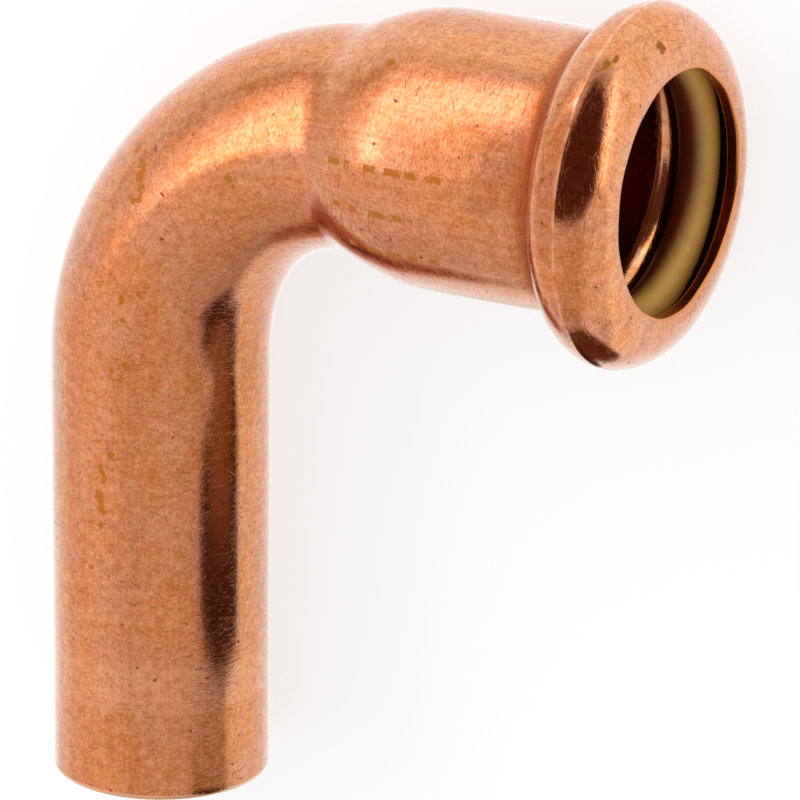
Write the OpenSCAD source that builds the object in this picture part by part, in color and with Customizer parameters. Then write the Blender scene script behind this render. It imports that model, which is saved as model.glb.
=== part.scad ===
// 90 degree copper press elbow, one plain spigot and one press socket.
// Millimetres. Origin at the centre of the spigot's end face; the spigot runs along +Y from there.
// The part lies on its side as it comes to rest: the spigot leg and the bead touch the surface.

/* [Tube] */
// Outside diameter of the spigot, the same as the pipe that goes into the socket
pipe_d = 15; // [12:0.5:22]
// Wall of the tube that the elbow is bent from
tube_wall = 1.5; // [1:0.1:2]
// Centre-line radius of the bend
bend_r = 17.7; // [15:0.1:30]
// Straight length of the spigot leg
spigot_l = 30.2; // [22:0.1:60]
// Rounding of the spigot's cut end
end_round = 0.4; // [0.1:0.1:0.7]

/* [Socket] */
// Gap all round between the pipe and the socket's guide
socket_gap = 0.35; // [0.1:0.05:0.5]
// Wall of the expanded socket
socket_wall = 1.45; // [1:0.05:2]
// Straight length of the guide, from the flare to the seal's groove
guide_l = 12.2; // [8:0.1:25]
// Length of the flare from the tube to the socket
flare_l = 6.4; // [4.5:0.1:10]
// How far the flare reaches back into the end of the bend
flare_lap = 1.5; // [0.5:0.1:2.5]

/* [Bead] */
// Wall of the rolled bead over the seal
bead_wall = 0.9; // [0.7:0.05:1.5]
// Wall of the bead's nose in front of the seal
nose_wall = 0.85; // [0.7:0.05:1.5]
// Angle between the back and the nose of the bead, along the ridge on its crest
ridge_a = 10; // [4:1:16]
// Radius of the hollow between the socket and the bead
root_round = 1.3; // [0.5:0.1:1.6]
// Rounding of the shoulder between the guide and the seal's groove
shoulder_round = 1.2; // [0.4:0.1:1.4]
// Gap all round between the pipe and the edge of the lip
lip_gap = 0.7; // [0.5:0.05:1]
// Easing of the edges inside the mouth and the spigot
edge_ease = 0.35; // [0.1:0.05:0.5]

/* [Seal] */
// Thickness of the sealing ring
seal_d = 2.8; // [2.2:0.1:3.4]
// Gap all round between the pipe and the loose seal
seal_gap = 0.3; // [0.1:0.05:0.4]
// Gap between the seal and its groove
seat_gap = 0.1; // [0.05:0.05:0.2]
// Free room in the groove in front of the seal
seal_play = 1; // [0.4:0.1:1.6]

/* [Hidden] */
$fn = 96;
copper = [0.80, 0.51, 0.36];
cream = [0.82, 0.73, 0.50];

// Radii
pipe_r = pipe_d / 2;
tube_bore_r = pipe_r - tube_wall;
guide_r = pipe_r + socket_gap;
socket_r = guide_r + socket_wall;
lip_r = pipe_r + lip_gap;

// Stations along the socket's axis, counted from the end of the bend
guide_x = flare_l - flare_lap;
groove_x = guide_x + guide_l;
seat_r = seal_d / 2 + seat_gap;
groove_arc = seat_r + seal_play / 2;
crest_x = groove_x + groove_arc;
seal_x = groove_x + seat_r;

// The flare is an arc that runs smoothly into the socket and meets the tube in a crease
flare_h = socket_r - pipe_r;
flare_arc = (flare_l * flare_l + flare_h * flare_h) / (2 * flare_h);

// The groove and the bead's back arc share a centre, the seal lies against the groove's inner side,
// and the nose arc starts at the crest
seal_r = pipe_r + seal_gap + seal_d / 2;
back_arc = groove_arc + bead_wall;
crest_r = seal_r + back_arc;
nose_arc = (groove_arc + nose_wall) / (1 - sin(ridge_a));
nose_x = crest_x - nose_arc * sin(ridge_a);
nose_r = crest_r - nose_arc * cos(ridge_a);
lip_x = nose_x + sqrt(nose_arc * nose_arc - (nose_r - lip_r) * (nose_r - lip_r));

// The hollow at the bead's root meets the socket and the back arc in fine creases
root_sink = root_round / 40;
root_reach = back_arc + root_round - root_sink;
root_r = socket_r + root_round - root_sink;
root_x = crest_x - sqrt(root_reach * root_reach - (root_r - seal_r) * (root_r - seal_r));

// The rounded shoulder meets the guide and the groove in fine creases too
shoulder_sink = shoulder_round / 40;
shoulder_x = groove_x - shoulder_round + shoulder_sink;
shoulder_r = guide_r + shoulder_round - shoulder_sink;

// Lying on its side, the elbow leans about the spigot until the bead's back touches the surface
bead_u = bend_r + crest_x;
lean = atan(seal_r / bead_u) - asin((pipe_r - back_arc) / norm([bead_u, seal_r]));

// Outline of the spigot up to the bend, with its cut end rounded: radius first, then the station along the axis
module spigot_2d() {
    translate([0, -spigot_l]) square([pipe_r - end_round, spigot_l]);
    translate([0, end_round - spigot_l]) square([pipe_r, spigot_l - end_round]);
    translate([pipe_r - end_round, end_round - spigot_l]) circle(end_round);
}

// Inside of the spigot, cut past its end, with the edge eased
module spigot_bore_2d() {
    past = spigot_l + edge_ease;
    translate([0, -past]) square([tube_bore_r, past]);
    polygon([
        [0, -past],
        [tube_bore_r + 2 * edge_ease, -past],
        [tube_bore_r, edge_ease - spigot_l],
        [0, edge_ease - spigot_l]
    ]);
}

// Outside of the flare, drawn solid to the axis; it starts inside the tube's wall
module flare_2d(arc, r, start_r) {
    reach = sqrt(2 * arc * (r - start_r) - (r - start_r) * (r - start_r));
    intersection() {
        translate([r - arc, guide_x]) circle(arc);
        translate([0, guide_x - reach]) square([r, reach]);
    }
}

// Hollow between the socket and the bead, with a concave arc
module root_2d() {
    difference() {
        polygon([
            [guide_r + socket_wall / 2, root_x],
            [root_r, root_x],
            [seal_r, crest_x],
            [guide_r + socket_wall / 2, crest_x]
        ]);
        translate([root_r, root_x]) circle(root_round);
    }
}

// Rolled bead: the back arc and the nose arc cross on the crest, and the nose arc runs on to the lip
module bead_2d() {
    intersection() {
        translate([seal_r, crest_x]) circle(back_arc);
        translate([nose_r, nose_x]) circle(nose_arc);
    }
    intersection() {
        translate([nose_r, nose_x]) circle(nose_arc);
        translate([tube_bore_r, crest_x + groove_arc / 4]) square([crest_r, nose_arc]);
    }
    root_2d();
}

// Outside of the socket, solid to the axis
module socket_2d() {
    flare_2d(flare_arc, socket_r, pipe_r - tube_wall / 2);
    translate([0, guide_x]) square([socket_r, crest_x - guide_x]);
    bead_2d();
}

// What is cut off the corner between the guide and the groove to round the shoulder
module shoulder_2d() {
    difference() {
        translate([0, shoulder_x]) square([shoulder_r, groove_x - shoulder_x]);
        translate([shoulder_r, shoulder_x]) circle(shoulder_round);
    }
}

// Inside of the socket: flare, guide, groove for the seal and the mouth
module mouth_2d() {
    flare_2d(flare_arc - socket_wall, guide_r, tube_bore_r - tube_wall / 3);
    translate([0, guide_x]) square([guide_r, guide_l]);
    shoulder_2d();
    translate([0, groove_x]) square([seal_r, 2 * groove_arc]);
    translate([seal_r, crest_x]) circle(groove_arc);
    translate([0, crest_x]) square([lip_r, 2 * nose_arc]);
    polygon([
        [0, lip_x - edge_ease],
        [lip_r, lip_x - edge_ease],
        [lip_r + 0.6 * edge_ease, lip_x + edge_ease],
        [0, lip_x + edge_ease]
    ]);
}

// Quarter bend of a round section, from the start of the bend at the origin
module quarter(r) {
    translate([bend_r, 0, 0]) rotate([0, 0, 90]) rotate_extrude(angle = 90)
        translate([bend_r, 0]) circle(r);
}

// Puts a revolved outline on the spigot's axis
module on_spigot() {
    rotate([-90, 0, 0]) rotate_extrude() children();
}

// Puts a revolved outline on the socket's axis, from the end of the bend
module on_socket() {
    translate([bend_r, bend_r, 0]) rotate([0, 90, 0]) rotate_extrude() children();
}

// Leans the elbow about the spigot, as it lies on a surface, and brings the spigot's end to the origin
module lying() {
    rotate([0, -lean, 0]) translate([0, spigot_l, 0]) children();
}

// Bent and formed tube, in one piece
module elbow_body() {
    color(copper) lying() difference() {
        union() {
            on_spigot() spigot_2d();
            quarter(pipe_r);
            on_socket() socket_2d();
        }
        on_spigot() spigot_bore_2d();
        quarter(tube_bore_r);
        on_socket() mouth_2d();
    }
}

// O-ring in the bead's groove
module sealing_ring() {
    color(cream) lying() on_socket() translate([seal_r, seal_x]) circle(seal_d / 2);
}

elbow_body();
sealing_ring();
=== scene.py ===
import math
import bpy
import numpy as np
from mathutils import Matrix


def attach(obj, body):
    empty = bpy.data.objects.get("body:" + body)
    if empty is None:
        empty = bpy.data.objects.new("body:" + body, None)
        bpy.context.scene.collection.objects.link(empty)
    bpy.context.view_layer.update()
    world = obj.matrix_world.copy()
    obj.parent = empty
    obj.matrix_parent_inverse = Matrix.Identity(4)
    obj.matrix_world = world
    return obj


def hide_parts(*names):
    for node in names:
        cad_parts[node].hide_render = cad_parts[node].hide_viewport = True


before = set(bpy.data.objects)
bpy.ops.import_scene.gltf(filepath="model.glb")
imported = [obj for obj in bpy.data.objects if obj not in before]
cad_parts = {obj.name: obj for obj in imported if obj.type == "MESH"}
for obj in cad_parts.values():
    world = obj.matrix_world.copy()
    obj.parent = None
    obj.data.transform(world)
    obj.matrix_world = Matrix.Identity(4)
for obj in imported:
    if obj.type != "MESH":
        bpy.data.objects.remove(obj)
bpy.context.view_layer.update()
print("frame loaded:", sorted(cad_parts))

mm = 0.001

# lengths in millimetres, stations run along the socket from the end of the bend
elbow = {
    "pipeR": 7.5,
    "boreR": 6.0,
    "bendR": 17.7,
    "spigotL": 30.2,
    "endRound": 0.4,
    "boreEase": 0.35,
    "socketR": 9.3,
    "socketFull": 0.1,      # the socket is this much fuller in its middle
    "guideR": 7.85,
    "lipR": 8.2,
    "flareLap": 1.5,        # the flare starts this far before the end of the bend
    "flareInLap": 1.15,
    "guideX": 4.9,
    "flareArc": 12.278,
    "flareInArc": 10.828,
    "rootX": 15.14,
    "rootR": 10.6,
    "rootRound": 1.3,
    "shoulder": 1.2,        # rolled edge where the seal groove meets the guide
    "crestX": 19.1,
    "sealR": 9.2,
    "backArc": 2.9,
    "noseX": 18.501,
    "noseR": 8.7035,
    "noseArc": 3.449,
    "grooveX": 19.0,
    "grooveR": 9.1,
    "grooveArc": 2.0,
    "lean": 7.07097,        # degrees, how far the socket tips up while the elbow lies on its side
    "oval": 0.04,           # the bend is this much flatter in its plane
    "uneven": 0.02,
    "lipWave": 0.05,
    "ridgeWave": 0.05,
    "ridgeLead": 0.3,       # the ridge lies this much further forward on the upper side
    "beadDrop": 0.25,       # the rolled bead and its lip sit a little off the socket's axis
    "lipDrop": 0.12,
    "lipTight": 0.12,
    "lipFlat": 0.3,         # the lip is pressed in a little on its lower right
    "creaseSoft": 0.22,     # rounding of the crease where the flare leaves the tube
    "creaseSlope": 0.61,
    "leadTowards": 125,     # degrees round the bead
    "leadSink": 0.16,
    "pressTowards": -45,
    "mouthFrom": 20.4,      # the lip's own changes grow between these stations
    "mouthTo": 21.8,
    "dropFrom": 13.8,       # and the bead's drop between these
    "dropTo": 16.6,
    # places along the socket, each a station and a half width
    "fullAt": (8.5, 5.0),
    "crestAt": (19.1, 0.9),
    "ridgeAt": (19.1, 0.3),
    "rubbedAt": (19.07, 0.08),
    "lipAt": (21.8, 0.45),
    "lipInsideAt": (21.5, 0.5),
    "rolledAt": (16.4, 0.5),
    "rootAt": (15.7, 0.75),
    "flareAt": (-1.4, 0.5),
    "around": 240,
}

# old ink flecks on the skin: length along, degrees round, half length, half width
flecks = [
    (44.15, 221, 0.5, 0.45), (44.8, 215, 0.25, 0.3), (44.3, 209, 0.35, 0.7), (43.9, 206, 0.45, 0.6),
    (43.6, 200, 0.3, 0.8), (43, 196, 0.4, 0.45), (42.6, 197, 0.3, 0.4), (44.6, 201, 0.22, 0.35),
    (44.9, 195, 0.2, 0.25), (50.2, 177, 0.4, 0.4), (50.3, 172, 0.25, 0.5), (49.1, 170.4, 0.25, 0.4),
    (46.85, 167, 0.2, 0.2), (31.6, 166, 0.42, 0.42), (31.1, 173.6, 0.35, 0.25), (30.3, 179, 0.25, 0.22),
    (33.6, 160.4, 0.25, 0.2), (33.2, 164, 0.2, 0.2), (36.5, 175, 0.5, 0.35), (37.6, 167, 0.4, 0.3),
    (35.1, 171, 0.35, 0.3), (25.05, 174.4, 0.42, 0.35), (23.9, 180, 0.35, 0.35), (23.2, 178, 0.4, 0.3),
    (22, 181, 0.65, 0.5), (21, 178.6, 0.55, 0.5), (19.9, 180.5, 0.45, 0.25), (16.8, 186.6, 0.35, 0.35),
    (62.3, 229.7, 0.4, 0.35), (81.8, 257.9, 0.55, 0.4), (80, 238.9, 0.3, 0.25), (79.6, 235.4, 0.35, 0.3),
    (79.3, 232, 0.25, 0.25), (77.8, 154.2, 0.35, 0.3),
]


def leaned(x, y, h):
    # turns the elbow's own plane by the lean about the spigot axis, in metres
    tip = math.radians(elbow["lean"])
    across = x * math.cos(tip) - h * math.sin(tip)
    upward = x * math.sin(tip) + h * math.cos(tip)
    return np.stack([across, y + 0 * h, upward], -1) * mm


def ripple(seed, along, around, longest, count):
    # smooth unevenness: a seeded sum of cosines over length and whole turns, scaled to -1..1
    rng = np.random.default_rng(seed)
    total = 0 * along
    for k in range(count):
        turns = rng.integers(0, 7)
        rate = rng.uniform(0.3, 1.0) * 2 * math.pi / longest
        phase = rng.uniform(0, 2 * math.pi)
        total = total + np.cos(along * rate * rng.choice([-1, 1]) + turns * around + phase)
    return total / count ** 0.5 / 1.6


def arc(centre, radius, start, end, count):
    # points of a circle in station and radius, angles in degrees
    a = np.radians(np.linspace(start, end, count))
    return np.stack([centre[0] + radius * np.cos(a), centre[1] + radius * np.sin(a)], -1)


def line(start, end, count):
    # evenly spaced points from one place to another
    t = np.linspace(0, 1, count)[:, None]
    return np.array(start)[None, :] * (1 - t) + np.array(end)[None, :] * t


def spigotRows(y, r, turn):
    # straight leg: circles of radius r at height y
    y = y[:, None]
    r = r[:, None] + 0 * turn
    return r * np.cos(turn), y + 0 * r, r * np.sin(turn)


def bendRows(share, r, lap, turn):
    # quarter bend: circles carried round the bend centre, the last one cut square where the flare starts
    reach = elbow["bendR"] - r * np.cos(turn)
    last = np.arccos(lap / reach)
    a = share[:, None] * last
    flat = 1 - elbow["oval"] * np.sin(2 * a) ** 2
    c = r * flat * np.cos(turn)
    x = elbow["bendR"] - (elbow["bendR"] - c) * np.cos(a)
    y = elbow["spigotL"] + (elbow["bendR"] - c) * np.sin(a)
    return x, y, r * np.sin(turn) + 0 * a


def socketRows(station, r, lap, startR, fadeEnd, turn):
    # straight socket: circles of radius r, drawn to the cut end of the bend near its start
    reach = elbow["bendR"] - startR * np.cos(turn)
    drop = reach * np.sin(np.arccos(lap / reach)) - elbow["bendR"]
    rise = startR * np.sin(turn)
    cutR = np.hypot(drop, rise)
    slip = np.angle(np.exp(1j * (np.arctan2(rise, -drop) - turn)))
    fade = np.clip((fadeEnd - station[:, None]) / (fadeEnd + lap), 0, 1) ** 2
    rr = r[:, None] + (cutR - startR) * fade
    aa = turn + slip * fade
    x = elbow["bendR"] + station[:, None] + 0 * rr
    y = elbow["spigotL"] + elbow["bendR"] - rr * np.cos(aa)
    return x, y, rr * np.sin(aa)


def soften(rise):
    # rounded corner between flat and rising: k log(1 + exp(rise / k))
    k = elbow["creaseSoft"]
    return k * np.log1p(np.exp(rise / k))


def hill(station, place, power=2):
    # bell along the socket: exp(-((station - middle) / half width) ^ power)
    middle, half = place
    return np.exp(-((station - middle) / half) ** power)


def spotField(spots, length, degrees):
    # soft spots, each a rounded hill at its place along and round the skin
    total = 0 * length
    for along, turn, longHalf, wideHalf in spots:
        off = (degrees - turn) * math.pi / 180 * elbow["pipeR"]
        total = np.maximum(total, np.exp(-((length - along) / longHalf) ** 2 - (off / wideHalf) ** 2))
    return total


def joinRows(parts):
    # sets of rows put one after another into one grid
    return [np.concatenate([p[k] for p in parts], 0) for k in range(3)]


def ringMesh(name, rows, skin=None, marks=None):
    # a grid closed both around and along its length, with its own flat coordinates and marks
    n, m = rows.shape[:2]
    mesh = bpy.data.meshes.new(name)
    i = np.arange(n)
    j = np.arange(m)
    a = i[:, None] * m + j[None, :]
    b = i[:, None] * m + (j[None, :] + 1) % m
    c = (i[:, None] + 1) % n * m + (j[None, :] + 1) % m
    d = (i[:, None] + 1) % n * m + j[None, :]
    quads = np.stack([a, d, c, b], -1).reshape(-1, 4)
    mesh.from_pydata(rows.reshape(-1, 3), [], quads)
    if skin is not None:
        along, turnLength = skin
        u0 = (j / m * turnLength)[None, :] + 0 * i[:, None]
        u1 = ((j + 1) / m * turnLength)[None, :] + 0 * i[:, None]
        v0 = along[i][:, None] + 0 * j[None, :]
        step = np.append(along[1:], along[-1] + (along[-1] - along[-2]))
        v1 = step[i][:, None] + 0 * j[None, :]
        uv = np.stack([np.stack([u0, v0], -1), np.stack([u0, v1], -1),
                       np.stack([u1, v1], -1), np.stack([u1, v0], -1)], 2)
        layer = mesh.uv_layers.new(name="skin")
        layer.data.foreach_set("uv", uv.astype(np.float32).ravel())
    for key, values in (marks or {}).items():
        spot = mesh.attributes.new(key, "FLOAT", "POINT")
        spot.data.foreach_set("value", values.astype(np.float32).ravel())
    mesh.polygons.foreach_set("use_smooth", np.ones(len(mesh.polygons), dtype=bool))
    mesh.update()
    piece = bpy.data.objects.new(name, mesh)
    bpy.context.scene.collection.objects.link(piece)
    return piece


def elbowProfile():
    # station and radius of the socket, from the flare round the bead and lip and back along the inside
    e = elbow
    flareX = np.linspace(-e["flareLap"], e["guideX"], 26)
    arcR = e["socketR"] - e["flareArc"]
    flareR = arcR + np.sqrt(e["flareArc"] ** 2 - (flareX - e["guideX"]) ** 2)
    flare = np.stack([flareX, e["pipeR"] + soften(flareR - e["pipeR"])], -1)
    barrel = line((e["guideX"], e["socketR"]), (e["rootX"] - 0.12, e["socketR"]), 36)[1:]
    root = arc((e["rootX"], e["rootR"]), e["rootRound"], -88, -20, 9)
    back = arc((e["crestX"], e["sealR"]), e["backArc"], 159, 91.5, 19)
    crestR = e["sealR"] + e["backArc"]
    ridge = np.array([[e["crestX"] - 0.01, crestR], [e["crestX"] + 0.07, crestR - 0.025]])
    nose = arc((e["noseX"], e["noseR"]), e["noseArc"] - 0.01, 77, -3, 30)
    lipEdge = np.array([[21.945, 0.18], [21.925, 0.1], [21.88, 0.045], [21.8, 0.015], [21.7, 0],
                        [21.5, 0], [21.3, 0], [21.1, 0], [21.0, 0.06]])
    lip = lipEdge + [0, e["lipR"]]
    groove = arc((e["grooveX"], e["grooveR"]), e["grooveArc"], 0, 180, 15)
    innerX = e["grooveX"] - e["grooveArc"] - e["shoulder"]
    shoulder = arc((innerX, e["guideR"] + e["shoulder"]), e["shoulder"], 0, -90, 9)
    guide = line((innerX - 0.3, e["guideR"]), (e["guideX"], e["guideR"]), 14)
    flareInX = np.linspace(e["guideX"] - 0.4, -e["flareInLap"], 12)
    flareInR = arcR + np.sqrt(e["flareInArc"] ** 2 - (flareInX - e["guideX"]) ** 2)
    outside = np.concatenate([flare, barrel, root, back, ridge, nose])
    flareIn = np.stack([flareInX, flareInR], -1)
    inside = np.concatenate([lip, groove, shoulder, guide, flareIn])
    return outside, inside


def buildElbow():
    # one closed skin: spigot, bend, flare, bead, lip, then the inside back to the spigot end
    e = elbow
    turn = (np.arange(e["around"]) / e["around"] * 2 * math.pi - math.pi / 2)[None, :]
    outside, inside = elbowProfile()
    rim = arc((e["endRound"], e["pipeR"] - e["endRound"]), e["endRound"], 180, 90, 7)
    straightY = np.linspace(e["endRound"], e["spigotL"], 86)[1:]
    legY = np.concatenate([rim[:, 0], straightY])
    legR = np.concatenate([rim[:, 1], np.full(len(straightY), e["pipeR"])])
    leg = spigotRows(legY, legR, turn)
    share = np.linspace(0, 1, 82)[1:-1]
    toFlare = (1 - share) * e["bendR"] * math.pi / 2
    tubeR = e["pipeR"] + soften(-e["creaseSlope"] * toFlare)
    bend = bendRows(share, tubeR[:, None], e["flareLap"], turn)
    socket = socketRows(outside[:, 0], outside[:, 1], e["flareLap"], e["pipeR"], e["guideX"], turn)
    mouth = socketRows(inside[:, 0], inside[:, 1], e["flareInLap"], e["boreR"], e["guideX"], turn)
    bendIn = bendRows(np.linspace(1, 0, 34)[1:], e["boreR"], e["flareInLap"], turn)
    legInY = np.array([28.5, 26, 22, 18, 14, 10, 7, 4, 2, 1, e["boreEase"], 0.2, 0.08, 0.0])
    legInR = e["boreR"] + np.append(np.zeros(len(legInY) - 3), [0.09, 0.2, e["boreEase"]])
    legIn = spigotRows(legInY, legInR, turn)
    x, y, h = joinRows([leg, bend, socket, mouth, bendIn, legIn])

    # station of each row, far off for the rows that aren't on the socket
    farOff = -99.0
    before = np.full(len(legY) + len(share), farOff)
    after = np.full(len(bendIn[0]) + len(legInY), farOff)
    station = np.concatenate([before, outside[:, 0], inside[:, 0], after])[:, None]
    isOuter = (np.arange(len(station)) < len(before) + len(outside))[:, None]
    middle = np.stack([x.mean(1), y.mean(1)], -1)
    ring = np.hypot(np.hypot(x - middle[:, :1], y - middle[:, 1:]), h).mean(1)
    profile = np.stack([middle[:, 0], middle[:, 1], ring], -1)
    along = np.concatenate([[0], np.cumsum(np.linalg.norm(np.diff(profile, axis=0), axis=1))])
    length = along[:, None] + 0 * x
    around = turn + 0 * x

    # departures from true, each sinking the skin towards its row's middle: unevenness outside, a wavy lip,
    # a lip drawn tight and pressed in on one side, and the ridge's lead, less the socket's fullness
    sink = e["uneven"] * 0.5 * (1 + np.clip(ripple(11, length, around, 16, 9), -1, 1)) * isOuter
    lipWave = e["lipWave"] * np.clip(ripple(5, 0 * length, 3 * around, 9, 6), -1, 1)
    sink = sink - lipWave * hill(station, e["lipAt"]) * (1 - isOuter)
    mouthNear = np.clip((station - e["mouthFrom"]) / (e["mouthTo"] - e["mouthFrom"]), 0, 1) ** 2
    leadTurn = np.clip(np.cos(around - math.radians(e["leadTowards"])), 0, 1)
    lead = e["ridgeLead"] * leadTurn * hill(station, e["crestAt"]) * isOuter
    full = e["socketFull"] * hill(station, e["fullAt"], 4) * isOuter
    pressTurn = np.clip(np.cos(around - math.radians(e["pressTowards"])), 0, 1)
    pressed = e["lipFlat"] * pressTurn ** 6
    sink = sink + (e["lipTight"] + pressed) * mouthNear + e["leadSink"] * lead - full
    shrink = 1 - sink / ring[:, None]
    x = middle[:, :1] + (x - middle[:, :1]) * shrink
    y = middle[:, 1:] + (y - middle[:, 1:]) * shrink
    h = h * shrink

    # then the ridge moves along the socket, and the bead and lip drop off its axis
    ridgeWave = e["ridgeWave"] * ripple(8, 0 * length, 5 * around, 9, 7)
    x = x + ridgeWave * hill(station, e["ridgeAt"]) * isOuter + lead
    dropNear = np.clip((station - e["dropFrom"]) / (e["dropTo"] - e["dropFrom"]), 0, 1) ** 2
    y = y - e["lipDrop"] * mouthNear - e["beadDrop"] * dropNear

    # where the material differs or light and shade are painted, each from 0 to 1
    rubbedEdge = hill(station, e["rubbedAt"]) * isOuter
    # painted highlight: a paler band on the rolled shoulder inside the socket
    shoulderHighlight = 0.8 * hill(station, e["rolledAt"]) * (1 - isOuter)
    # painted shade with some tarnish in the root hollow and the flare crease, and painted shade on the
    # lip's inside
    hollows = (0.95 * hill(station, e["rootAt"]) + 0.12 * hill(station, e["flareAt"])) * isOuter
    lipInsideShade = 0.5 * hill(station, e["lipInsideAt"]) * (1 - isOuter)
    marks = {
        "outside": isOuter + 0 * x,
        "ridge": rubbedEdge + shoulderHighlight + 0 * x,
        "shadeAndTarnish": hollows + lipInsideShade + 0 * x,
        "ink": spotField(flecks, length, np.degrees(around) + 90),
    }
    return x, y, h, along, marks


gx, gy, gh, along, marks = buildElbow()
body = ringMesh("elbowSkin", leaned(gx, gy, gh), (along, 2 * math.pi * elbow["pipeR"]), marks)
print("elbow skin:", len(body.data.polygons), "faces")

seal = {"midR": 9.2, "section": 1.4, "station": 18.43, "around": 200, "rounds": 48}


def buildSeal():
    # moulded ring: a circle of the section's radius carried round the socket axis
    # the mark for painted shade is how far a point faces the mouth, with some more low down where the
    # painted shade is narrower
    a = np.arange(seal["rounds"]) / seal["rounds"] * 2 * math.pi
    b = (np.arange(seal["around"]) / seal["around"] * 2 * math.pi)[None, :]
    station = seal["station"] + seal["section"] * np.sin(a)
    r = (seal["midR"] + seal["section"] * np.cos(a))[:, None] + 0 * b
    x = elbow["bendR"] + station[:, None] + 0 * b
    y = elbow["spigotL"] + elbow["bendR"] - elbow["beadDrop"] - r * np.cos(b)
    # painted shade reaches less far round on the lower side
    lessShadeLow = 0.5 * np.clip(np.cos(b), 0, 1) ** 1.5
    return leaned(x, y, r * np.sin(b)), np.sin(a)[:, None] + lessShadeLow + 0 * r


sealRows, front = buildSeal()
ring = ringMesh("sealRing", sealRows, None, {"front": front})
print("seal ring:", len(ring.data.polygons), "faces")


def put(tree, kind, settings=None, inputs=None):
    # adds a node, sets its choices and either fills or links its sockets
    made = tree.nodes.new(kind)
    for key, value in (settings or {}).items():
        setattr(made, key, value)
    for key, value in (inputs or {}).items():
        if isinstance(value, bpy.types.NodeSocket):
            tree.links.new(value, made.inputs[key])
        else:
            made.inputs[key].default_value = value
    return made


def startMaterial(name):
    made = bpy.data.materials.new(name)
    made.use_nodes = True
    tree = made.node_tree
    return made, tree, tree.nodes["Principled BSDF"]


def emptyMaterial(name):
    # a material with nothing but its output, and the socket that takes its surface
    made, tree = startMaterial(name)[:2]
    tree.nodes.clear()
    return made, tree, put(tree, "ShaderNodeOutputMaterial").inputs["Surface"]


def calc(tree, kind, *values):
    # one arithmetic node, numbers or sockets in, socket out
    made = tree.nodes.new("ShaderNodeMath")
    made.operation = kind
    for k, value in enumerate(values):
        if isinstance(value, bpy.types.NodeSocket):
            tree.links.new(value, made.inputs[k])
        else:
            made.inputs[k].default_value = value
    return made.outputs[0]


def fadeBetween(tree, value, low, high, start=0.0, end=1.0):
    # smooth step from start to end while the value goes from low to high
    made = put(tree, "ShaderNodeMapRange", {"interpolation_type": "SMOOTHSTEP"},
               {"Value": value, "From Min": low, "From Max": high, "To Min": start, "To Max": end})
    return made.outputs[0]


def blendColour(tree, amount, first, second):
    made = put(tree, "ShaderNodeMix", {"data_type": "RGBA"}, {"Factor": amount, 6: first, 7: second})
    return made.outputs[2]


def cloud(tree, where, scale, detail=2.0, rough=0.5):
    made = put(tree, "ShaderNodeTexNoise", None,
               {"Vector": where, "Scale": scale, "Detail": detail, "Roughness": rough})
    return made.outputs["Fac"]


def fromVectors(tree, kind, first, second):
    # one number from two vectors: their distance or their dot product
    made = put(tree, "ShaderNodeVectorMath", {"operation": kind}, {0: first, 1: second})
    return made.outputs["Value"]


def hairlines(tree, skin, kind):
    # one short scratch in each random cell of the skin, turned by the cell's own chance,
    # with some cells left empty
    cellSize = kind["cell"]
    where = put(tree, "ShaderNodeMapping", None,
                {"Vector": skin, "Location": (kind["offset"], kind["offset"] * 0.37, 0),
                 "Scale": (1 / cellSize, 1 / cellSize, 1)}).outputs[0]
    cell = put(tree, "ShaderNodeTexVoronoi", {"voronoi_dimensions": "2D"},
               {"Vector": where, "Scale": 1.0})
    gap = put(tree, "ShaderNodeVectorMath", {"operation": "SUBTRACT"},
              {0: where, 1: cell.outputs["Position"]})
    chance = put(tree, "ShaderNodeSeparateColor", None, {"Color": cell.outputs["Color"]})
    angle = calc(tree, "MULTIPLY", calc(tree, "SUBTRACT", chance.outputs[0], 0.5), kind["slant"])
    spun = put(tree, "ShaderNodeVectorRotate", {"rotation_type": "Z_AXIS"},
               {"Vector": gap.outputs[0], "Angle": angle})
    lengthways, sideways = put(tree, "ShaderNodeSeparateXYZ", None, {0: spun.outputs[0]}).outputs[:2]
    curve = calc(tree, "MULTIPLY", calc(tree, "SUBTRACT", chance.outputs[2], 0.5), 0.5)
    bow = calc(tree, "MULTIPLY", calc(tree, "MULTIPLY", lengthways, lengthways), curve)
    across = calc(tree, "ABSOLUTE", calc(tree, "ADD", sideways, bow))
    width = kind["width"] / cellSize
    half = kind["half"] / cellSize
    stroke = fadeBetween(tree, across, 0.25 * width, width, 1.0, 0.0)
    ends = fadeBetween(tree, calc(tree, "ABSOLUTE", lengthways), 0.5 * half, half, 1.0, 0.0)
    there = fadeBetween(tree, chance.outputs[1], 0.9 - kind["keep"], 1.1 - kind["keep"])
    return calc(tree, "MULTIPLY", calc(tree, "MULTIPLY", stroke, ends), there)


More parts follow.
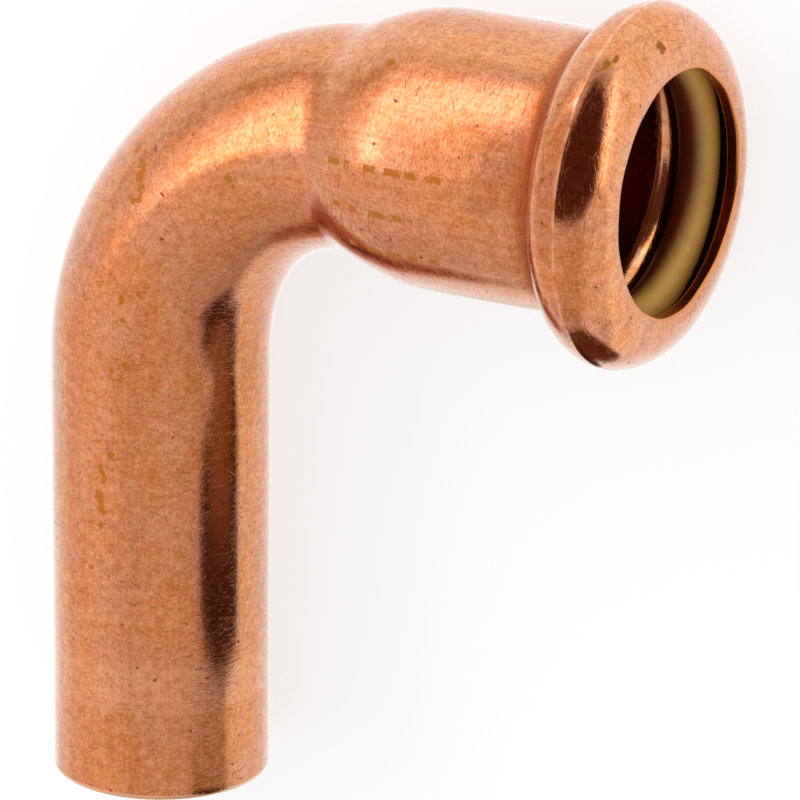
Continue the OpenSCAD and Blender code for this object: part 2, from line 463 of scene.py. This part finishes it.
copper = {
    "orange": (0.56, 0.158, 0.038, 1),
    "mauve": (0.54, 0.188, 0.082, 1),
    "rubbed": (0.72, 0.300, 0.150, 1),
    "tarnish": (0.34, 0.070, 0.012, 1),
    "hair": (0.14, 0.026, 0.005, 1),
    # dark red for painted shade with tarnish in the hollows and inside the lip
    "hollow": (0.27, 0.040, 0.005, 1),
    "speck": (0.15, 0.026, 0.006, 1),
    # pale rubbed colour of the ridge and rim, also the painted highlight on the inner shoulder
    "ridge": (0.74, 0.360, 0.200, 1),
    "inside": (0.62, 0.200, 0.060, 1),
    "ink": (0.52, 0.135, 0.002, 1),
    "oldInk": (0.40, 0.155, 0.006, 1),
    "edge": (1.0, 0.92, 0.88, 1),       # tint of the reflection at grazing angles
    "rough": 0.17,
    "coat": 0.25,
    "coatRough": 0.14,
    "inkShine": 0.15,
    "bumpDepth": 8e-6,
    "fineHair": {"cell": 0.42, "half": 0.30, "width": 0.030, "slant": 1.5, "keep": 0.85, "offset": 3.1},
    "shortHair": {"cell": 0.8, "half": 0.42, "width": 0.050, "slant": 1.1, "keep": 0.6, "offset": 17.7},
    "longHair": {"cell": 3.6, "half": 0.9, "width": 0.045, "slant": 2.6, "keep": 0.3, "offset": 41.3},
    "rubbedFrom": 6.8,      # a paler worn band round the spigot
    "rubbedTo": 9.7,
    # rows of worn dashes: place round, start along, length, seed
    "dashRows": ((24.2, 59.0, 9.4, 3.0), (21.7, 59.3, 6.6, 11.0), (19.1, 60.0, 7.4, 23.0)),
    "dashHigh": 0.20,       # half the height of a dash
    "dashPitch": 1.6,
    "dashEdge": 0.05,
}


def wornDashes(tree, skin, worn):
    # three rows of plain dashes on the socket, their lengths by chance, partly rubbed away
    around, along = put(tree, "ShaderNodeSeparateXYZ", None, {0: skin}).outputs[:2]
    high, edge = copper["dashHigh"], copper["dashEdge"]
    total = None
    for roundAt, start, length, seed in copper["dashRows"]:
        fromRow = calc(tree, "ABSOLUTE", calc(tree, "SUBTRACT", around, roundAt))
        tall = fadeBetween(tree, fromRow, high - edge, high + edge, 1.0, 0.0)
        fromMiddle = calc(tree, "ABSOLUTE", calc(tree, "SUBTRACT", along, start + length / 2))
        inside = fadeBetween(tree, fromMiddle, length / 2 - 2 * edge, length / 2, 1.0, 0.0)
        step = calc(tree, "DIVIDE", calc(tree, "SUBTRACT", along, start), copper["dashPitch"])
        number = calc(tree, "ADD", calc(tree, "FLOOR", step), seed)
        chance = put(tree, "ShaderNodeTexWhiteNoise", {"noise_dimensions": "1D"}, {"W": number})
        filled = calc(tree, "MULTIPLY_ADD", chance.outputs["Value"], 0.55, 0.3)
        pastDash = calc(tree, "SUBTRACT", calc(tree, "FRACT", step), filled)
        dash = fadeBetween(tree, pastDash, -edge, edge, 1.0, 0.0)
        row = calc(tree, "MULTIPLY", calc(tree, "MULTIPLY", tall, inside), dash)
        total = row if total is None else calc(tree, "MAXIMUM", total, row)
    return calc(tree, "MULTIPLY", total, worn)


def objectMillimetres(tree):
    # the piece's own coordinates, counted in millimetres
    spot = put(tree, "ShaderNodeTexCoord")
    made = put(tree, "ShaderNodeVectorMath", {"operation": "SCALE"},
               {0: spot.outputs["Object"], "Scale": 1 / mm})
    return made.outputs[0]


def markOn(tree, key):
    # a mark that the mesh carries at its points
    return put(tree, "ShaderNodeAttribute", {"attribute_name": key}).outputs["Fac"]


def stretched(tree, skin, around, along):
    # the skin's coordinates, scaled by two factors
    return put(tree, "ShaderNodeMapping", None, {"Vector": skin, "Scale": (around, along, 1)}).outputs[0]


def darkSpecks(tree, solid):
    # small ragged spots: distance to random points in a wobbled space, each point with its own size
    wobble = put(tree, "ShaderNodeTexNoise", None, {"Vector": solid, "Scale": 2.6, "Detail": 2.0})
    shift = put(tree, "ShaderNodeVectorMath", {"operation": "MULTIPLY_ADD"},
                {0: wobble.outputs["Color"], 1: (0.5, 0.5, 0.5), 2: solid}).outputs[0]
    dots = put(tree, "ShaderNodeTexVoronoi", None, {"Vector": shift, "Scale": 0.95})
    size = put(tree, "ShaderNodeSeparateColor", None, {"Color": dots.outputs["Color"]}).outputs[0]
    edge = calc(tree, "MULTIPLY_ADD", fadeBetween(tree, size, 0.45, 1.0), 0.15, -0.03)
    past = calc(tree, "SUBTRACT", dots.outputs["Distance"], edge)
    return fadeBetween(tree, past, -0.02, 0.035, 0.85, 0.0)


def copperMaterial():
    # scratched satin copper: mottled colour, specks, tarnish with painted shade in the hollows and inside
    # the lip, a rubbed ridge with a painted highlight on the inner shoulder, old ink
    made, tree, skin = startMaterial("wornCopper")
    solid = objectMillimetres(tree)
    flat = put(tree, "ShaderNodeUVMap", {"uv_map": "skin"}).outputs[0]
    along = put(tree, "ShaderNodeSeparateXYZ", None, {0: flat}).outputs[1]
    ink, outside, ridge, shadeAndTarnish = (markOn(tree, key) for key in ("ink", "outside", "ridge", "shadeAndTarnish"))

    patches = cloud(tree, solid, 0.22, 3.0)
    streaky = cloud(tree, stretched(tree, flat, 0.62, 0.17), 1.0, 4.0, 0.6)
    mottle = cloud(tree, solid, 1.5, 3.0, 0.6)
    grain = cloud(tree, solid, 4.6, 2.0, 0.6)
    fine = hairlines(tree, flat, copper["fineHair"])
    short = hairlines(tree, flat, copper["shortHair"])
    long = hairlines(tree, flat, copper["longHair"])
    groups = fadeBetween(tree, cloud(tree, solid, 0.30, 2.0), 0.46, 0.62, 0.06, 1.0)
    short = calc(tree, "MULTIPLY", short, groups)
    brushed = cloud(tree, stretched(tree, flat, 0.25, 7.0), 1.0, 3.0)
    drawn = cloud(tree, stretched(tree, flat, 6.0, 0.15), 1.0, 3.0)

    hue = calc(tree, "MULTIPLY_ADD", streaky, 0.6, calc(tree, "MULTIPLY", patches, 0.4))
    colour = blendColour(tree, fadeBetween(tree, hue, 0.37, 0.63), copper["orange"], copper["mauve"])
    bandStart = fadeBetween(tree, along, copper["rubbedFrom"] - 0.6, copper["rubbedFrom"] + 0.3)
    bandEnd = fadeBetween(tree, along, copper["rubbedTo"] - 0.3, copper["rubbedTo"] + 0.8, 1.0, 0.0)
    worn = calc(tree, "MULTIPLY", calc(tree, "MULTIPLY", bandStart, bandEnd),
                fadeBetween(tree, brushed, 0.30, 0.60, 0.15, 0.45))
    colour = blendColour(tree, worn, colour, copper["rubbed"])
    for cells, lighter, darker in ((mottle, 0.46, 0.48), (grain, 0.48, 0.48), (drawn, 0.18, 0.20)):
        pale = fadeBetween(tree, cells, 0.48, 0.74, 0.0, lighter)
        dull = fadeBetween(tree, cells, 0.52, 0.26, 0.0, darker)
        colour = blendColour(tree, pale, colour, copper["rubbed"])
        colour = blendColour(tree, dull, colour, copper["tarnish"])
    specks = darkSpecks(tree, solid)
    colour = blendColour(tree, specks, colour, copper["speck"])
    scratched = calc(tree, "MAXIMUM", short, calc(tree, "MULTIPLY", long, 0.6))
    scratched = calc(tree, "MAXIMUM", scratched, calc(tree, "MULTIPLY", fine, 0.3))
    colour = blendColour(tree, calc(tree, "MULTIPLY", scratched, 0.6), colour, copper["hair"])
    colour = blendColour(tree, calc(tree, "SUBTRACT", 1.0, outside), colour, copper["inside"])
    # painted shade with some tarnish: root hollow, flare crease and the lip's inside
    colour = blendColour(tree, calc(tree, "MULTIPLY", shadeAndTarnish, 0.8), colour, copper["hollow"])
    rimHere = fadeBetween(tree, along, 0.55, 0.75, 0.7, 0.0)
    ridgeWear = fadeBetween(tree, cloud(tree, solid, 0.9, 2.0), 0.34, 0.58, 0.0, 0.8)
    # the ridge mark is the rubbed ridge and also the painted highlight on the inner shoulder
    rubbedOrLitEdge = calc(tree, "MULTIPLY", ridge, ridgeWear)
    colour = blendColour(tree, calc(tree, "MAXIMUM", rimHere, rubbedOrLitEdge), colour, copper["ridge"])
    wearNoise = cloud(tree, solid, 2.6, 4.0, 0.7)
    ragged = calc(tree, "MULTIPLY_ADD", wearNoise, 1.5, calc(tree, "SUBTRACT", ink, 0.82))
    fleck = fadeBetween(tree, ragged, 0.46, 0.54)
    dashes = wornDashes(tree, flat, fadeBetween(tree, wearNoise, 0.38, 0.46))
    inked = calc(tree, "MULTIPLY", calc(tree, "MAXIMUM", fleck, dashes), 0.9)
    inkAge = fadeBetween(tree, cloud(tree, solid, 1.1, 2.0), 0.45, 0.62)
    inkHue = blendColour(tree, inkAge, copper["ink"], copper["oldInk"])
    colour = blendColour(tree, inked, colour, inkHue)
    tree.links.new(colour, skin.inputs["Base Color"])

    rough = calc(tree, "MULTIPLY_ADD", mottle, 0.16, copper["rough"] - 0.08)
    for layer, share in ((specks, 0.25), (scratched, 0.22), (inked, 0.3), (shadeAndTarnish, 0.3)):
        rough = calc(tree, "MULTIPLY_ADD", layer, share, rough)
    tree.links.new(rough, skin.inputs["Roughness"])
    tree.links.new(calc(tree, "SUBTRACT", 1.0, inked), skin.inputs["Metallic"])

    height = calc(tree, "MULTIPLY", grain, 0.8)
    for layer, share in ((brushed, 0.35), (drawn, 0.2), (fine, -0.35), (short, -0.5),
                         (long, -0.7), (inked, 0.5)):
        height = calc(tree, "MULTIPLY_ADD", layer, share, height)
    bump = put(tree, "ShaderNodeBump", None,
               {"Height": height, "Strength": 1.0, "Distance": copper["bumpDepth"]})
    tree.links.new(bump.outputs[0], skin.inputs["Normal"])
    tree.links.new(bump.outputs[0], skin.inputs["Coat Normal"])

    # the thin coat is left off the ink, the hollows and the inside
    bare = calc(tree, "MAXIMUM", inked, fadeBetween(tree, shadeAndTarnish, 0.05, 0.45))
    bare = calc(tree, "MAXIMUM", bare, calc(tree, "SUBTRACT", 1.0, outside))
    coated = calc(tree, "MULTIPLY_ADD", bare, -copper["coat"], copper["coat"])
    tree.links.new(coated, skin.inputs["Coat Weight"])
    skin.inputs["Coat Roughness"].default_value = copper["coatRough"]
    skin.inputs["Specular IOR Level"].default_value = copper["inkShine"]
    skin.inputs["Specular Tint"].default_value = copper["edge"]
    return made


rubber = {
    "base": (0.98, 0.54, 0.12, 1),
    "dark": (0.80, 0.40, 0.075, 1),
    # painted shade: the dark colour for the ring's deep side, away from the mouth
    "paintedShade": (0.15, 0.022, 0.003, 1),
    "rough": 0.42,
    "shine": 0.30,
    "bumpDepth": 6e-6,
}


def sealMaterial():
    # cream moulded rubber: soft mottling and a few darker specks, with painted shade on its deep side
    made, tree, skin = startMaterial("creamRubber")
    solid = objectMillimetres(tree)
    mottle = cloud(tree, solid, 0.8, 3.0)
    dust = cloud(tree, solid, 4.0, 2.0)
    darker = fadeBetween(tree, mottle, 0.35, 0.7, 0.0, 0.4)
    specks = fadeBetween(tree, dust, 0.66, 0.74, 0.0, 0.5)
    colour = blendColour(tree, darker, rubber["base"], rubber["dark"])
    colour = blendColour(tree, specks, colour, rubber["dark"])
    # painted shade: dark on the deep side, the ring's own colour towards the mouth
    litShare = fadeBetween(tree, markOn(tree, "front"), 0.10, 1.08)
    colour = blendColour(tree, litShare, rubber["paintedShade"], colour)
    tree.links.new(colour, skin.inputs["Base Color"])
    rough = calc(tree, "MULTIPLY_ADD", mottle, 0.2, rubber["rough"] - 0.1)
    tree.links.new(rough, skin.inputs["Roughness"])
    bump = put(tree, "ShaderNodeBump", None,
               {"Height": dust, "Strength": 0.5, "Distance": rubber["bumpDepth"]})
    tree.links.new(bump.outputs[0], skin.inputs["Normal"])
    skin.inputs["Specular IOR Level"].default_value = rubber["shine"]
    return made


body.data.materials.append(copperMaterial())
ring.data.materials.append(sealMaterial())

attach(body, "root")
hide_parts("elbow_body")
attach(ring, "root")
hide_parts("sealing_ring")
print("materials set")

# camera from the photograph: turn and rise about the elbow as it stands in the picture
camera = {
    "turn": 30.48,
    "rise": 18.34,
    "roll": 0.63,
    "distance": 420,
    "focalPx": 6260.17,
    "pictureWide": 800,
    "sensorWide": 36,
    "aim": (14, 0, -18),
    "shift": (-4.25, 0.84),
}


def buildCamera():
    # picture axes x along the socket, y away from the viewer, z up the spigot, then into the lying frame
    az, el, roll = (math.radians(camera[k]) for k in ("turn", "rise", "roll"))
    backward = np.array([math.sin(az) * math.cos(el), -math.cos(az) * math.cos(el), math.sin(el)])
    flatRight = np.array([math.cos(az), math.sin(az), 0])
    flatUp = np.cross(backward, flatRight)
    right = math.cos(roll) * flatRight + math.sin(roll) * flatUp
    up = -math.sin(roll) * flatRight + math.cos(roll) * flatUp
    place = np.array(camera["aim"]) - camera["shift"][0] * right - camera["shift"][1] * up
    place = place + camera["distance"] * backward
    tip = math.radians(elbow["lean"])
    axes = np.array([[math.cos(tip), math.sin(tip), 0], [0, 0, 1], [math.sin(tip), -math.cos(tip), 0]])
    right, up, backward, place = (axes @ v for v in (right, up, backward, place))
    place = (place + np.array([0, elbow["spigotL"] + elbow["bendR"], 0])) * mm
    lens = bpy.data.cameras.new("photoCamera")
    lens.sensor_width = camera["sensorWide"]
    lens.lens = camera["focalPx"] * camera["sensorWide"] / camera["pictureWide"]
    lens.clip_start = 0.01
    eye = bpy.data.objects.new("photoCamera", lens)
    pose = np.eye(4)
    pose[:3, 0], pose[:3, 1], pose[:3, 2], pose[:3, 3] = right, up, backward, place
    eye.matrix_world = Matrix(pose.tolist())
    bpy.context.scene.collection.objects.link(eye)
    bpy.context.scene.camera = eye


buildCamera()

studio = {
    "floorZ": -7.5,
    "floorHalf": 1500,
    "floorColour": (0.32, 0.32, 0.32, 1),
    "floorLift": 0.72,      # the floor's own white for the eye, the rest is lit and keeps the shadow
    "shine": (0.90, 1.14, 1.24, 1),         # its tint in reflections
    "shineWarm": (0.84, 0.88, 0.74, 1),     # and below the socket
    "shineLift": 1.18,      # its level in reflections
    "shineMiddle": (14, 25, -7.5),
    "underMiddle": (25, 37, -7.5),
    # painted shadow: less glow near the elbow
    "shineWide": 0.25,      # more of it away from the elbow
    "wideOver": (32, 55),   # growing over this distance
    "shineFar": -0.08,      # less of it behind the bend
    "farOver": (46, 80),
    "shineLeft": -0.35,     # and on the left
    "leftOver": (-8, -40),
    # painted dark reflection in front of the spigot
    "shineNear": -1.05,     # and in front of the spigot, right of nearSide
    "nearOver": (0, -45),
    "nearSide": (-60, -12),
    # painted shadow below the socket, with a warmer tint there
    "paintedShadowUnder": -0.30,    # and below the socket
    "underOver": (8, 18),
    "skyLight": 0.8,
    "skyTint": (0.95, 1.0, 1.06, 1),
    "skyShine": 0.95,       # sky in reflections
    # its changes towards a direction: cosines between which they grow, then the amount
    "skyTurns": (
        ((-0.84, -0.20, 0.50), 0.55, 1.0, 0.38),    # brighter on the left
        ((0.60, -0.80, 0.0), 0.55, 0.95, -0.22),    # lower towards the front right
        ((0.35, -0.62, 0.70), 0.6, 0.95, 0.14),     # a little higher above the front
    ),
}


def buildFloor():
    # pale matte floor, with a white of its own for the eye and, for reflections, a glow tuned place by
    # place: painted light, brighter away from the elbow and dimmer behind the bend and on the left, with
    # painted shadow near the elbow and below the socket and a painted dark patch in front of the spigot
    h = studio["floorHalf"] * mm
    z = studio["floorZ"] * mm
    mesh = bpy.data.meshes.new("studioFloor")
    mesh.from_pydata([(-h, -h, z), (h, -h, z), (h, h, z), (-h, h, z)], [], [(0, 1, 2, 3)])
    floor = bpy.data.objects.new("studioFloor", mesh)
    bpy.context.scene.collection.objects.link(floor)
    made, tree, surface = emptyMaterial("paleFloor")
    matte = put(tree, "ShaderNodeBsdfDiffuse", None, {"Color": studio["floorColour"]})
    path = put(tree, "ShaderNodeLightPath").outputs
    spot = objectMillimetres(tree)
    side, far = put(tree, "ShaderNodeSeparateXYZ", None, {0: spot}).outputs[:2]
    wide = fromVectors(tree, "DISTANCE", spot, studio["shineMiddle"])
    under = fromVectors(tree, "DISTANCE", spot, studio["underMiddle"])
    near = calc(tree, "MULTIPLY", fadeBetween(tree, side, *studio["nearSide"]),
                fadeBetween(tree, far, *studio["nearOver"], 0.0, studio["shineNear"]))
    shine = calc(tree, "ADD", near, studio["shineLift"])
    for change in (fadeBetween(tree, far, *studio["farOver"], 0.0, studio["shineFar"]),
                   fadeBetween(tree, wide, *studio["wideOver"], 0.0, studio["shineWide"]),
                   fadeBetween(tree, side, *studio["leftOver"], 0.0, studio["shineLeft"]),
                   fadeBetween(tree, under, *studio["underOver"], studio["paintedShadowUnder"], 0.0)):
        shine = calc(tree, "ADD", shine, change)
    straight = calc(tree, "MAXIMUM", path["Is Camera Ray"], path["Is Transmission Ray"])
    lift = calc(tree, "ADD", calc(tree, "MULTIPLY", straight, studio["floorLift"]),
                calc(tree, "MULTIPLY", path["Is Glossy Ray"], shine))
    outward = fadeBetween(tree, under, *studio["underOver"])
    tint = blendColour(tree, outward, studio["shineWarm"], studio["shine"])
    tint = blendColour(tree, path["Is Glossy Ray"], (1, 1, 1, 1), tint)
    glow = put(tree, "ShaderNodeEmission", None, {"Color": tint, "Strength": lift})
    both = put(tree, "ShaderNodeAddShader", None, {0: matte.outputs[0], 1: glow.outputs[0]})
    tree.links.new(both.outputs[0], surface)
    mesh.materials.append(made)


def buildSky():
    # white to the eye, a gentle change of level in reflections, a plain level for the soft light
    world = bpy.data.worlds.new("studioSky")
    bpy.context.scene.world = world
    world.use_nodes = True
    tree = world.node_tree
    tree.nodes.clear()
    out = put(tree, "ShaderNodeOutputWorld")
    path = put(tree, "ShaderNodeLightPath").outputs
    ray = put(tree, "ShaderNodeTexCoord").outputs["Generated"]
    shine = studio["skyShine"]
    for direction, growFrom, growTo, change in studio["skyTurns"]:
        turned = fromVectors(tree, "DOT_PRODUCT", ray, direction)
        shine = calc(tree, "ADD", shine, fadeBetween(tree, turned, growFrom, growTo, 0.0, change))
    straight = calc(tree, "MAXIMUM", path["Is Camera Ray"], path["Is Transmission Ray"])
    seen = calc(tree, "MAXIMUM", straight, path["Is Glossy Ray"])
    level = calc(tree, "MULTIPLY", calc(tree, "SUBTRACT", 1.0, seen), studio["skyLight"])
    level = calc(tree, "ADD", level, straight)
    level = calc(tree, "MULTIPLY_ADD", path["Is Glossy Ray"], shine, level)
    tint = blendColour(tree, path["Is Glossy Ray"], (1, 1, 1, 1), studio["skyTint"])
    sky = put(tree, "ShaderNodeBackground", None, {"Color": tint, "Strength": level})
    tree.links.new(sky.outputs[0], out.inputs["Surface"])


# softboxes on the upper left, facing the elbow's middle: off are degrees sideways and up from the
# direction towards them, tilt turns a box in its plane, level is its brightness against the sky's 1
softboxes = {
    "middle": (14, 30, 2),
    "towards": (-0.633, 0.550, 0.545),
    "tilt": 31,
    "boxes": {
        "leftBox": {"off": (2, 2.5), "away": 600, "size": (870, 170),
                    "level": 2.0, "tint": (0.94, 0.92, 1.04)},
        "leftHalo": {"off": (4.6, -1.8), "away": 610, "size": (1000, 340),
                     "level": 0.55, "tint": (0.94, 0.95, 1.04)},
    },
}

# painted reflections: cards that only shiny surfaces see, the dark ones painted dark reflections and the
# bright ones painted highlights, each flat at one X, Y or Z, the other two coordinates as pairs in
# millimetres; glow is their light against the sky's 1, faded to farGlow along Y, and soft keeps the
# farGlow near one height
# colour of the painted dark reflections
darkGlow = (0.062, 0.026, 0.013)
cards = {
    "legFlag": {
        "atX": 30, "glow": darkGlow,
        "outline": [(-0.8, 2.3), (0.4, 10), (2.1, 14), (6, 16), (11, 16), (14, 15.6), (16.6, 14.4),
                    (17.8, 12.5), (19.1, 10.8), (20.6, 7.8), (23, 6.4), (27, 6), (27, -3),
                    (20, -6.9), (18.5, -7.4), (1.4, -7.4), (0, -2.2)],
    },
    "legPale": {
        "atX": 29.9, "glow": darkGlow, "farGlow": (0.34, 0.22, 0.13), "fade": (6, 16), "soft": (4, 9.5),
        "outline": [(5, 14), (5, -6), (14, -6.5), (20, -6), (26.9, -3), (26.9, 6), (20, 8.5),
                    (16.6, 13), (14, 15)],
    },
    "footFlag": {
        "atY": 30, "glow": (0.15, 0.066, 0.036),
        "outline": [(33.6, 12.4), (33.6, 9.5), (34.2, 7.4), (35.3, 5.8), (37.2, 5.0), (39.6, 5.4),
                    (40.4, 8), (40.2, 11.4), (39.4, 13.8), (38.2, 15), (36, 15.3), (34.4, 14.4)],
    },
    # painted reflection: a pale glowing screen seen in the bead and the mouth
    "beadScreen": {
        "atX": 42, "glow": (0.88, 0.88, 0.88), "farGlow": (1.22, 1.42, 1.70), "soft": (14.5, 6),
        "outline": [(18, 7), (34, 10), (34, 12), (50, 12.9), (50, 15), (46.6, 20.5), (40, 20.5),
                    (34, 24), (30, 26), (18, 26)],
    },
    # painted plain reflection that hides the softbox's highlight on the bead's back band
    "bandCard": {
        "atZ": 18, "glow": (1.0, 1.0, 1.05),
        "outline": [(24, 43), (34.2, 43), (34.6, 63), (26, 63)],
    },
    "bendFlag": {
        "atX": 60, "glow": darkGlow,
        "outline": [(-78, -7.4), (-76, -3), (-62.5, 13.3), (-54.5, 23.8), (-42, 33), (-33.5, 39.5),
                    (-24, 38.5), (-24, -7.4)],
    },
    "beadFlag": {
        "atZ": 75, "glow": (0.10, 0.038, 0.018),
        "outline": [(20, 38), (132, 27), (403, 20), (496, 235), (260, 300), (186, 352), (106, 326),
                    (59, 259), (41, 205), (30, 159), (27, 115), (22, 92), (19, 71), (19, 50)],
    },
    # painted highlight: a bright strip seen only in the bead's reflection
    "beadStrip": {
        "atX": 118, "glow": (3.4, 3.4, 3.4),
        "outline": [(40, 1), (140, 1), (140, 19), (40, 19)],
    },
}


def buildCards():
    # painted reflections: flat panels beside and above the elbow, kept out of the picture and out of the
    # soft light, seen only in reflections
    for name, card in cards.items():
        mesh = bpy.data.meshes.new(name)
        pairs = np.array(card["outline"], dtype=float)
        sides = ("atX", "atY", "atZ")
        column = [k for k in range(3) if sides[k] in card][0]
        corners = np.insert(pairs, column, card[sides[column]], 1)
        mesh.from_pydata(corners * mm, [], [list(range(len(corners)))])
        made, tree, surface = emptyMaterial(name)
        far, high = put(tree, "ShaderNodeSeparateXYZ", None, {0: objectMillimetres(tree)}).outputs[1:]
        fade = fadeBetween(tree, far, *card.get("fade", (0, 1)))
        middle, half = card.get("soft", (0, 1000))
        off = calc(tree, "ABSOLUTE", calc(tree, "SUBTRACT", high, middle))
        fade = calc(tree, "MULTIPLY", fade, fadeBetween(tree, off, 0.3 * half, half, 1.0, 0.0))
        tint = blendColour(tree, fade, (*card["glow"], 1), (*card.get("farGlow", card["glow"]), 1))
        glow = put(tree, "ShaderNodeEmission", None, {"Color": tint})
        tree.links.new(glow.outputs[0], surface)
        mesh.materials.append(made)
        panel = bpy.data.objects.new(name, mesh)
        for kind in ("camera", "diffuse", "transmission", "volume_scatter", "shadow"):
            setattr(panel, "visible_" + kind, False)
        bpy.context.scene.collection.objects.link(panel)


def buildSoftboxes():
    # area lamps on one direction: side, top and back are the axes of an upright box, then tilted
    middle = np.array(softboxes["middle"])
    back = np.array(softboxes["towards"]) / np.linalg.norm(softboxes["towards"])
    side = np.cross([0, 0, 1], back)
    side = side / np.linalg.norm(side)
    top = np.cross(back, side)
    tilt = math.radians(softboxes["tilt"])
    for name, box in softboxes["boxes"].items():
        lamp = bpy.data.lights.new(name, "AREA")
        lamp.shape = "RECTANGLE"
        lamp.size = box["size"][0] * mm
        lamp.size_y = box["size"][1] * mm
        lamp.color = box["tint"]
        lamp.energy = box["level"] * math.pi * lamp.size * lamp.size_y
        rig = bpy.data.objects.new(name, lamp)
        across, upward = np.tan(np.radians(box["off"]))
        pose = np.eye(4)
        pose[:3, 0] = math.cos(tilt) * side + math.sin(tilt) * top
        pose[:3, 1] = math.cos(tilt) * top - math.sin(tilt) * side
        pose[:3, 2] = back
        pose[:3, 3] = (middle + (back + across * side + upward * top) * box["away"]) * mm
        rig.matrix_world = Matrix(pose.tolist())
        bpy.context.scene.collection.objects.link(rig)


buildFloor()
buildSky()
buildSoftboxes()
buildCards()
bpy.context.scene.view_settings.view_transform = "Standard"
print("studio set")
